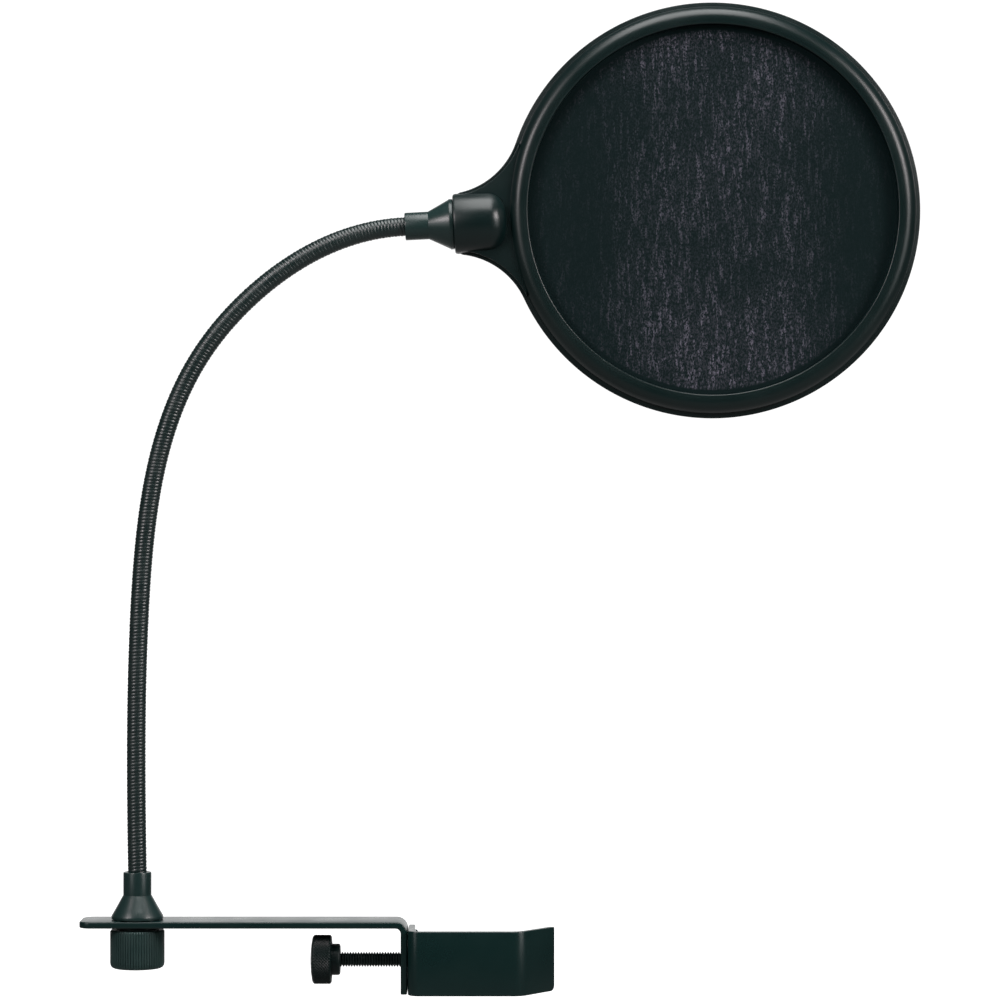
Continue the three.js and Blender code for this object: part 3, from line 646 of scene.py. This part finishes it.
def strap(name, section, path):
    """Sweeps a flat section: the path's steps are ("go", move) or ("bend", centre, axis, degrees)."""
    piece = line(name, section, closed=True)
    with editing(piece):
        bpy.ops.mesh.edge_face_add()
        for kind, *how in path:
            if kind == "go":
                bpy.ops.mesh.extrude_region_move(TRANSFORM_OT_translate={"value": how[0]})
            else:
                centre, axis, degrees = how
                steps = round(abs(degrees) / 5)
                turn = -math.radians(degrees)          # the operator turns the other way
                bpy.ops.mesh.spin(steps=steps, angle=turn, center=centre, axis=axis)
        tidy_surface()
    return piece


def drilled(piece, centre, axis, diameter):
    """Drills a hole right through a strap."""
    free()
    turn = axis.to_track_quat("Z", "Y").to_matrix().to_4x4()
    bpy.ops.mesh.primitive_cylinder_add(vertices=48, radius=diameter / 2 * MM, depth=16 * MM)
    tool = bpy.context.object
    placed(tool, Matrix.Translation(centre) @ turn)
    return combine(piece, tool, "DIFFERENCE")


def round_upright_edges(piece, test, width, segments):
    """Bevels the edges along Z that pass a test on their middle."""
    with editing(piece):
        pick(piece, "edges", lambda e: test(centre_of(e))
             and (e.verts[0].co - e.verts[1].co).normalized().dot(UP) ** 2 > 0.99)
        bpy.ops.mesh.bevel(offset=width * MM, segments=segments, affect="EDGES")


def arm_plate(paint):
    low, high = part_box("arm_plate")
    inside = STRAP_BEND * MM
    under = high.z - STRAP * MM
    section = [(low.x, low.y, under), (low.x, high.y, under), (low.x, high.y, high.z),
               (low.x, low.y, high.z)]
    bend_x = high.x - STRAP * MM - inside
    path = [("go", (bend_x - low.x, 0, 0)),
            ("bend", (bend_x, 0, under - inside), ACROSS, 90),
            ("go", (0, 0, low.z - under + inside))]
    piece = strap("arm_strap", section, path)
    free_corner = 4.6
    round_upright_edges(piece, lambda c: c.x < low.x + MM, free_corner, 10)
    rounded(piece, STRAP_EDGE)
    stud = middle_of("lower_nipple")
    drilled(piece, (stud.x, stud.y, high.z), UP, 2 * STUD_BORE)
    screw = middle_of("clamp_screw")
    drilled(piece, (high.x, screw.y, screw.z), ALONG, SCREW_HOLE)
    finished(piece, paint, "bracket", "black_paint", "arm_plate")


def clamp_hook(paint):
    low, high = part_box("clamp_hook")
    thickness, inside = STRAP * MM, STRAP_BEND * MM
    leg_y = 22.5 * MM          # the leg's rear edge
    turn_x = 21.5 * MM         # where the middles of the front and the flap would meet
    flap_angle = 52
    flap_length = 20.5 * MM    # from there to its end
    flap_inside = 4.5 * MM     # radius inside the flap's bend, which is wider
    flap_corner = 2.2 * MM
    section = [(low.x, leg_y, low.z), (low.x + thickness, leg_y, low.z),
               (low.x + thickness, leg_y, high.z), (low.x, leg_y, high.z)]
    first = (low.x + thickness + inside, inside, 0)
    tangent = (flap_inside + thickness / 2) * math.tan(math.radians(flap_angle / 2))
    second_x = turn_x - tangent
    direction = Vector((math.cos(math.radians(flap_angle)), math.sin(math.radians(flap_angle)), 0))
    path = [("go", (0, inside - leg_y, 0)), ("bend", first, UP, 90),
            ("go", (second_x - first[0], 0, 0)), ("bend", (second_x, flap_inside, 0), UP, flap_angle),
            ("go", direction * (flap_length - tangent))]
    piece = strap("hook_strap", section, path)

    def at_lower_corner(edge):
        centre = centre_of(edge)
        along = edge.verts[0].co - edge.verts[1].co
        is_low = centre.x > high.x - 3 * MM and centre.z < low.z + 0.1 * MM
        return is_low and abs(along.z) < MM / 10 and abs(along.normalized().dot(direction)) < 0.1

    with editing(piece):
        pick(piece, "edges", at_lower_corner)
        bpy.ops.mesh.bevel(offset=flap_corner, segments=8, affect="EDGES")
    rounded(piece, STRAP_EDGE)
    screw = middle_of("clamp_screw")
    drilled(piece, (low.x, screw.y, screw.z), ALONG, SCREW_HOLE)
    finished(piece, paint, "bracket", "black_paint", "clamp_hook")


def rivet(number, paint):
    node = f"hook_rivet_{number}"
    low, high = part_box(node)
    length = (high.x - low.x) / MM
    shank, head = 1.6, length - 1.2
    profile = [(0, 0), (shank, 0), (shank, head), (2.7, head), (2.62, head + 0.4), (2.25, head + 0.8),
               (1.5, head + 1.08), (0.75, length - 0.02), (0, length)]
    piece = along_x(turned(f"rivet_{number}", profile, 32), node)
    finished(piece, paint, "bracket", "black_paint", node)


# ---------------------------------------------------------------- clamp screw, knob and pad

def clamp_screw(oxide):
    low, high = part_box("clamp_screw")
    length = (high.x - low.x) / MM
    tip, tip_radius, root = 3, 2.1, 1
    piece = thread("screw_thread", 5.8, 1.05, 0, length - tip)
    start = length - tip - root
    point = [(0, start), (tip_radius, start), (tip_radius, length - 0.4), (tip_radius - 0.4, length),
             (0, length)]
    combine(piece, turned("screw_point", point, 32), "UNION")
    finished(along_x(piece, "clamp_screw"), oxide, "screw", "screw_steel", "clamp_screw")


def diamond_knurl(piece, low, high, radius, depth, columns):
    """Cuts a band round Z into small pyramids by lowering every other vertex of its grid."""
    rows = 2 * round((high - low) / (2 * math.pi * radius / columns) / 2)
    step = (high - low) / rows

    def is_low(vert):
        height = vert.co.z / MM
        if not low - 0.01 <= height <= high + 0.01 or vert.co.xy.length < (radius - 0.02) * MM:
            return False
        column = round(math.atan2(vert.co.y, vert.co.x) / (2 * math.pi) * columns)
        return (column + round((height - low) / step)) % 2 == 0

    with editing(piece):
        for row in range(1, rows):
            bpy.ops.mesh.select_all(action="SELECT")
            slice_off((0, 0, (low + row * step) * MM), (0, 0, 1), keep=True)
        pick(piece, "verts", is_low)
        bpy.ops.mesh.vert_connect()
        share = 1 - depth / radius
        bpy.ops.transform.resize(value=(share, share, 1), center_override=(0, 0, 0))
    return piece


def clamp_knob(plastic):
    low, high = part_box("clamp_knob")
    rim = (high.y - low.y) / 2 / MM
    length = (high.x - low.x) / MM
    hub, flange = 6.1, length - 3.4
    tang, tang_hole = 6, 3.2
    band = (1.75, flange - 0.75)
    columns = 104
    profile = [
        (0, 0), (rim * 0.3, 0.06), (rim * 0.6, 0.28), (rim - 1.6, 0.66), (rim - 0.85, 0.82),
        (rim - 0.3, 1.25), (rim, band[0]), (rim, band[1]), (rim - 0.25, flange - 0.3),
        (rim - 0.7, flange), (7.4, flange), (6.9, flange - 0.5), (hub, flange - 0.5),
        (hub, length - 0.6), (5.8, length - 0.15), (5.4, length), (tang_hole, length),
        (tang_hole, length - tang), (0, length - tang),
    ]
    piece = turned("knob", profile, columns)
    diamond_knurl(piece, *band, rim, 0.28, columns)
    finished(along_x(piece, "clamp_knob"), plastic, "screw", "knob_plastic", "clamp_knob", angle=20)


def screw_pad(plastic):
    low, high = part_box("screw_pad")
    rim = (high.y - low.y) / 2 / MM
    length = (high.x - low.x) / MM
    socket, socket_depth, back_edge, face_edge = 2.5, 3.3, 0.8, 0.6
    grooves = [point for radius in (4.2, 3.0, 1.6)
               for point in ((radius + 0.3, length), (radius, length - 0.35), (radius - 0.3, length))]
    profile = [(0, socket_depth), (socket, socket_depth), (socket, 0), (rim - back_edge, 0),
               *arc((rim - back_edge, back_edge), back_edge, -90, 0, 4)[1:],
               (rim, 2.2), (rim - 0.3, 2.5), (rim, 2.8),
               *arc((rim - face_edge, length - face_edge), face_edge, 0, 90, 4),
               *grooves, (0, length)]
    piece = turned("pad", profile, 64)
    finished(along_x(piece, "screw_pad"), plastic, "pad", "knob_plastic", "screw_pad", angle=24)


# ---------------------------------------------------------------- thumb nut and washer

def thumb_nut(plastic):
    low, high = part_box("thumb_nut")
    rim = (high.x - low.x) / 2 / MM
    height = (high.z - low.z) / MM
    ridges, per_ridge, depth = 62, 4, 0.42
    insert, insert_depth, floor = 6, 8.3, 2
    columns = ridges * per_ridge
    profile = [
        (0, 0), (rim - 2.2, 0), (rim - 1.3, 0.12), (rim - 0.55, 0.55), (rim - 0.12, 1.3),
        (rim, 2.2), (rim, height - 0.6), (rim - 0.5, height), (insert, height),
        (insert, height - insert_depth), (STUD_BORE, height - insert_depth), (STUD_BORE, floor),
        (0, floor),
    ]
    piece = turned("nut", profile, columns)

    def in_valley(vert):
        on_rim = vert.co.xy.length > (rim - 0.6) * MM and 1.2 * MM < vert.co.z < (height + 1) * MM
        column = round(math.atan2(vert.co.y, vert.co.x) / (2 * math.pi) * columns)
        return on_rim and column % per_ridge == 0

    with editing(piece):
        pick(piece, "verts", in_valley)
        share = 1 - depth / rim
        bpy.ops.transform.resize(value=(share, share, 1), center_override=(0, 0, 0))
    stood_on(piece, "thumb_nut")
    finished(piece, plastic, "nut", "knob_plastic", "thumb_nut", angle=24)


def washer(oxide):
    low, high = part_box("nut_washer")
    rim = (high.x - low.x) / 2 / MM
    thickness = (high.z - low.z) / MM
    edge = 0.2
    profile = [(STUD_BORE, 0), (rim - edge, 0), (rim, edge), (rim, thickness - edge),
               (rim - edge, thickness), (STUD_BORE, thickness)]
    piece = stood_on(turned("washer", profile, 64, closed=True), "nut_washer")
    finished(piece, oxide, "washer", "screw_steel", "nut_washer")


# ---------------------------------------------------------------- screen

LIP = LIP_RADIUS / MM          # radius over the parting lip
OPENING = LIP - 9.1            # radius of the inner edge
LAND = 2.3                     # width of the bead's flat land, next to the opening
CROWN = 7.5                    # from the parting plane to the land
BEAD_FOOT = LIP - 1.75         # radius where the bead's round meets the lip
LIP_FACE = 1.15                # from the parting plane to the lip's face
SEAT = 3.0                     # and to the seat on the mesh
GAP = 0.15                     # of each half from the parting plane
OVERLAP = 1.4                  # past the parting plane, before it is cut there
WEB = 4                        # half of its thickness
WEB_FILLET = 30
SOCKET = 11.75
SOCKET_LENGTH = 20.6           # to the end of its soft round
NUT_SPACE = 9.35               # radius of what the socket leaves free for its nut
NUT_SPACE_LENGTH = 16          # to its end from the socket's start
SOCKET_WALL = 2.4              # of the socket before that space
SHELL_WALL = 1.8
RING_STEPS = 216


def ellipse(centre, reach, start, end, steps):
    """Points on part of an ellipse, from one angle to another in degrees."""
    return [(centre[0] + reach[0] * x, centre[1] + reach[1] * y)
            for x, y in arc((0, 0), 1, start, end, steps)]


def ring_half():
    """The bead with its lip, hollow inside, on the -Y side and a little past the parting plane."""
    shoulder = OPENING + LAND
    reach = (BEAD_FOOT - shoulder, CROWN - LIP_FACE - 0.25)
    lip = [(LIP, -OVERLAP), (LIP, LIP_FACE - 0.3), (LIP - 0.1, LIP_FACE - 0.08),
           (LIP - 0.3, LIP_FACE), (BEAD_FOOT + 0.25, LIP_FACE), (BEAD_FOOT + 0.08, LIP_FACE + 0.06)]
    bead = ellipse((shoulder, CROWN - reach[1]), reach, 0, 90, 18)
    land = [(shoulder - 0.7, CROWN), (OPENING + 1.6, CROWN - 0.05), (OPENING + 0.9, CROWN - 0.12)]
    edge = arc((OPENING + 0.6, CROWN - 0.12 - 0.6), 0.6, 90, 180, 8)
    seat = [(OPENING, SEAT + 0.1), (OPENING + 0.1, SEAT), (OPENING + SHELL_WALL, SEAT)]
    inner = (reach[0] - 1.1, reach[1] - SHELL_WALL)
    inside = [(OPENING + SHELL_WALL, CROWN - SHELL_WALL),
              *ellipse((shoulder, CROWN - reach[1]), inner, 90, 0, 8), (BEAD_FOOT - 1.1, -OVERLAP)]
    profile = lip + bead + land + edge + seat + inside
    centre = Vector((0, 0, RING_CENTRE))
    outline = [(r * MM, -y * MM, RING_CENTRE) for r, y in profile]
    return spun("ring_half", outline, RING_STEPS, True, ACROSS, centre)


def web_outline(inset):
    """The web's plan: concave edges tangent to the socket and the ring, less an inset."""
    aside = SOCKET + WEB_FILLET
    reach = LIP + WEB_FILLET
    radius = WEB_FILLET + inset
    along = RING_CENTRE / MM - math.sqrt(reach ** 2 - aside ** 2)
    begin = SOCKET_START / MM + 3
    start = math.degrees(math.acos((begin - along) / radius))
    end = math.degrees(math.asin(aside / reach))
    edge = arc((along, aside), radius, -start, -end, 24)
    right = [(SOCKET - 0.6 - inset, begin - 2), *((across, height) for height, across in edge)]
    left = [(-across, height) for across, height in right][::-1]
    return [*left, *right]


def web_half():
    piece = plate("web_half", web_outline(1.3), 2.5, -WEB)
    return rounded(piece, 0.8, 4, 60)


def web_lip():
    piece = plate("web_lip", web_outline(0), 1.9, -LIP_FACE)
    return rounded(piece, 0.25, 2, 60)


def socket_round():
    """The socket's round: a spun plug with a soft end."""
    start = SOCKET_START / MM
    end = start + SOCKET_LENGTH
    soft = 7.2
    profile = [(0, start), (SOCKET - 1.1, start), (SOCKET - 0.3, start + 0.3), (SOCKET, start + 1.1),
               *arc((SOCKET - soft, end - soft), soft, 0, 90, 12), (0, end)]
    return turned("socket_round", profile, 96)


def socket_space():
    """What the socket leaves free for the nut and the threaded end of the neck."""
    start = SOCKET_START / MM
    end = start + NUT_SPACE_LENGTH
    soft = 3.1
    profile = [(0, start - 1), (STUD_BORE, start - 1), (STUD_BORE, start + SOCKET_WALL),
               (NUT_SPACE, start + SOCKET_WALL),
               *arc((NUT_SPACE - soft, end - soft), soft, 0, 90, 6), (0, end)]
    return turned("socket_space", profile, 64)


def trim_to_ring(piece):
    """Cuts away what would stand inside the ring's bead."""
    free()
    bpy.ops.mesh.primitive_cylinder_add(vertices=RING_STEPS, radius=(BEAD_FOOT - 0.8) * MM,
                                        depth=60 * MM)
    tool = bpy.context.object
    turn = Matrix.Rotation(math.pi / 2, 4, "X")
    placed(tool, Matrix.Translation((0, 0, RING_CENTRE)) @ turn)
    return combine(piece, tool, "DIFFERENCE")


def shell_half():
    piece = socket_round()
    combine(piece, web_half(), "UNION")
    combine(piece, web_lip(), "UNION")
    trim_to_ring(piece)
    combine(piece, ring_half(), "UNION")
    combine(piece, socket_space(), "DIFFERENCE")
    with editing(piece):
        slice_off((0, -GAP * MM, 0), (0, 1, 0), fill=True)
        tidy_surface()
    return piece


def screw_places():
    return [sum(box_in(f"neck_screw_{n}", HEAD), Vector()) / 2 for n in (1, 2)]


def hoop_shells(plastic):
    front = shell_half()
    front.name = front.data.name = "shell_front"
    back = copy_of(front, "shell_back")
    placed(back, Matrix.Rotation(math.pi, 4, "Z"))
    for place in screw_places():
        for radius, depth in ((1.5, 12), (2.5, 3.2)):
            free()
            centre = (place.x, 4 * MM, place.z)
            bpy.ops.mesh.primitive_cylinder_add(vertices=40, radius=radius * MM, depth=depth * MM)
            tool = bpy.context.object
            placed(tool, Matrix.Translation(centre) @ Matrix.Rotation(math.pi / 2, 4, "X"))
            combine(back, tool, "DIFFERENCE")
    for piece, node in ((front, "hoop_front_shell"), (back, "hoop_back_shell")):
        placed(piece, HEAD)
        finished(piece, plastic, "hoop", "hoop_plastic", node, angle=28)


def shell_screw(number, metal):
    """A small pan-head screw with a cross recess, its head at the back."""
    node = f"neck_screw_{number}"
    low, high = box_in(node, HEAD)
    length = (high.y - low.y) / MM
    shank, rim, head = 1.2, (high.x - low.x) / 2 / MM, 1.3
    profile = [(0, 0), (shank - 0.4, 0), (shank, 0.4), (shank, length - head), (rim, length - head),
               (rim, length - 0.45), (rim - 0.35, length - 0.12), (rim - 0.9, length), (0, length)]
    piece = turned(f"shell_screw_{number}", profile, 40)
    for turn in (0, 90):
        free()
        bpy.ops.mesh.primitive_cube_add(size=1)
        tool = bpy.context.object
        shape = Matrix.Diagonal((2.3 * MM, 0.5 * MM, 1.6 * MM, 1))
        spin = Matrix.Rotation(math.radians(turn), 4, "Z")
        placed(tool, Matrix.Translation((0, 0, length * MM)) @ spin @ shape)
        combine(piece, tool, "DIFFERENCE")
    middle = (low + high) / 2
    stand = Matrix.Rotation(-math.pi / 2, 4, "X")
    placed(piece, HEAD @ Matrix.Translation((middle.x, low.y, middle.z)) @ stand)
    finished(piece, metal, "hoop", "zinc_steel", node)


def mesh_sheet(side, nylon):
    """One round of nylon mesh, stretched flat: a disc of rings of faces."""
    node = f"mesh_{side}"
    low, high = box_in(node, HEAD)
    radius = (high.x - low.x) / 2
    free()
    bpy.ops.mesh.primitive_circle_add(vertices=128, radius=radius, fill_type="NGON")
    piece = bpy.context.object
    piece.name = piece.data.name = f"nylon_{side}"
    with editing(piece):
        for _ in range(8):
            bpy.ops.mesh.inset(thickness=radius / 9, depth=0)
        bpy.ops.mesh.poke()
    turn = Matrix.Rotation(math.pi / 2 if side == "front" else -math.pi / 2, 4, "X")
    middle = (low + high) / 2
    placed(piece, HEAD @ Matrix.Translation(middle) @ turn)
    modify(piece, "SOLIDIFY", thickness=0.2 * MM, offset=0)
    finished(piece, nylon, "hoop", "nylon_mesh", node)


# ---------------------------------------------------------------- studio

CAMERA_AT = Vector((13.67, -1387.5, 179.45)) * MM
LIT = Vector((20, 12, 240)) * MM     # what the soft boxes point at


def add_camera():
    data = bpy.data.cameras.new("camera")
    data.sensor_width = 36
    data.lens = 129.0
    camera = bpy.data.objects.new("camera", data)
    camera.location = CAMERA_AT
    camera.rotation_euler = (math.pi / 2, 0, 0)
    bpy.context.scene.collection.objects.link(camera)
    bpy.context.scene.camera = camera


def add_softbox(name, sideways, height, distance, size, radiance, colour=(1, 1, 1)):
    """A soft box: its angles in degrees are to the right of the camera's side and upwards."""
    light = bpy.data.lights.new(name, "AREA")
    light.shape = "RECTANGLE"
    light.size, light.size_y = size
    light.energy = radiance * math.pi * size[0] * size[1]
    light.color = colour
    lamp = bpy.data.objects.new(name, light)
    right, up = math.radians(sideways), math.radians(height)
    towards = Vector((math.sin(right) * math.cos(up), -math.cos(right) * math.cos(up), math.sin(up)))
    lamp.location = LIT + towards * distance
    lamp.rotation_euler = towards.to_track_quat("Z", "Y").to_euler()
    bpy.context.scene.collection.objects.link(lamp)


def add_world():
    """A white studio: a bright backdrop and table, dim elsewhere, and white to the camera."""
    world = bpy.data.worlds.new("studio")
    world.use_nodes = True
    tree = world.node_tree
    background = tree.nodes["Background"]
    background.inputs["Color"].default_value = (1, 1, 1, 1)

    def node(kind, settings, inputs):
        made = tree.nodes.new("ShaderNode" + kind)
        for name, value in settings.items():
            setattr(made, name, value)
        for name, value in inputs.items():
            if isinstance(value, bpy.types.NodeSocket):
                tree.links.new(value, made.inputs[name])
            else:
                made.inputs[name].default_value = value
        return made

    direction = node("TexCoord", {}, {}).outputs["Generated"]
    axes = node("SeparateXYZ", {}, {"Vector": direction}).outputs

    def glow(axis, start, end, strength):
        return node("MapRange", {"interpolation_type": "SMOOTHSTEP"},
                    {"Value": axes[axis], "From Min": start, "From Max": end, "To Min": 0,
                     "To Max": strength}).outputs[0]

    def total(first, second):
        return node("Math", {"operation": "ADD"}, {0: first, 1: second}).outputs[0]

    backdrop = glow("Y", 0.76, 0.97, 1.1)
    table = glow("Z", -0.1, -0.6, 0.24)
    both = total(total(backdrop, table), 0.055)
    seen = node("LightPath", {}, {}).outputs["Is Camera Ray"]
    strength = node("Mix", {"data_type": "FLOAT"}, {0: seen, 2: both, 3: 1.1}).outputs[0]
    tree.links.new(strength, background.inputs["Strength"])
    bpy.context.scene.world = world


def add_floor():
    free()
    bpy.ops.mesh.primitive_plane_add(size=24, location=(0, 0, -0.30))
    floor = bpy.context.object
    floor.name = "floor"
    floor.visible_glossy = floor.visible_diffuse = False
    pale = bpy.data.materials.new("pale_floor")
    pale.use_nodes = True
    shader = pale.node_tree.nodes["Principled BSDF"]
    shader.inputs["Base Color"].default_value = (0.9, 0.9, 0.9, 1)
    shader.inputs["Roughness"].default_value = 0.9
    shader.inputs["Emission Color"].default_value = (1, 1, 1, 1)
    shader.inputs["Emission Strength"].default_value = 1.2
    floor.data.materials.append(pale)


# ---------------------------------------------------------------- the whole

add_camera()
add_world()
add_floor()
add_softbox("overhead", 0, 76, 1.0, (0.72, 0.9), 6.5)
add_softbox("right", 56, 12, 1.3, (0.6, 1.0), 2.3, (0.96, 1.0, 1.0))
add_softbox("left", -46, 10, 1.3, (0.42, 0.8), 1.7, (0.96, 1.0, 1.0))
add_softbox("right_spot", 56, 23, 1.2, (0.4, 0.4), 15.0, (1.0, 0.9, 0.9))
add_softbox("left_spot", -46, 22, 1.2, (0.34, 0.36), 15.0, (1.0, 0.9, 0.92))

satin = satin_paint()
ferrule_paint = turned_paint()
moulded = moulded_plastic()
knob = matt_plastic("knob_plastic", (0.0012, 0.0068, 0.0064), (0.0025, 0.0092, 0.0086))
ridged = matt_plastic("nut_plastic", (0.017, 0.040, 0.0375), (0.026, 0.052, 0.0485))
wire = coil_steel()
oxide = black_oxide()
nylon = nylon_mesh()
zinc = bare_metal("zinc_plate", (0.45, 0.46, 0.47), (0.62, 0.63, 0.64), 0.28)
spring = bare_metal("spring_wire", (0.3, 0.31, 0.32), (0.5, 0.51, 0.52), 0.3)
brass = bare_metal("turned_brass", (0.62, 0.44, 0.18), (0.76, 0.58, 0.28), 0.25)

neck_sections(wire)
lower_ferrule(ferrule_paint)
upper_ferrule(ferrule_paint)
lower_stud(oxide)
arm_plate(satin)
clamp_hook(satin)
rivet(1, satin)
rivet(2, satin)
clamp_screw(oxide)
clamp_knob(knob)
screw_pad(knob)
thumb_nut(ridged)
washer(oxide)
hoop_shells(moulded)
shell_screw(1, zinc)
shell_screw(2, zinc)
mesh_sheet("front", nylon)
mesh_sheet("back", nylon)

KEPT = {"nut_insert": brass, "socket_nut": brass, "upper_nipple": oxide, "spacer_ring": moulded}
for number in range(1, NECK_PIECES + 1):
    KEPT[f"neck_core_{number}"] = spring
for node, material in KEPT.items():
    frame["nodes"][node].data.materials.clear()
    frame["nodes"][node].data.materials.append(material)

bpy.context.scene.view_settings.view_transform = "Standard"

free()
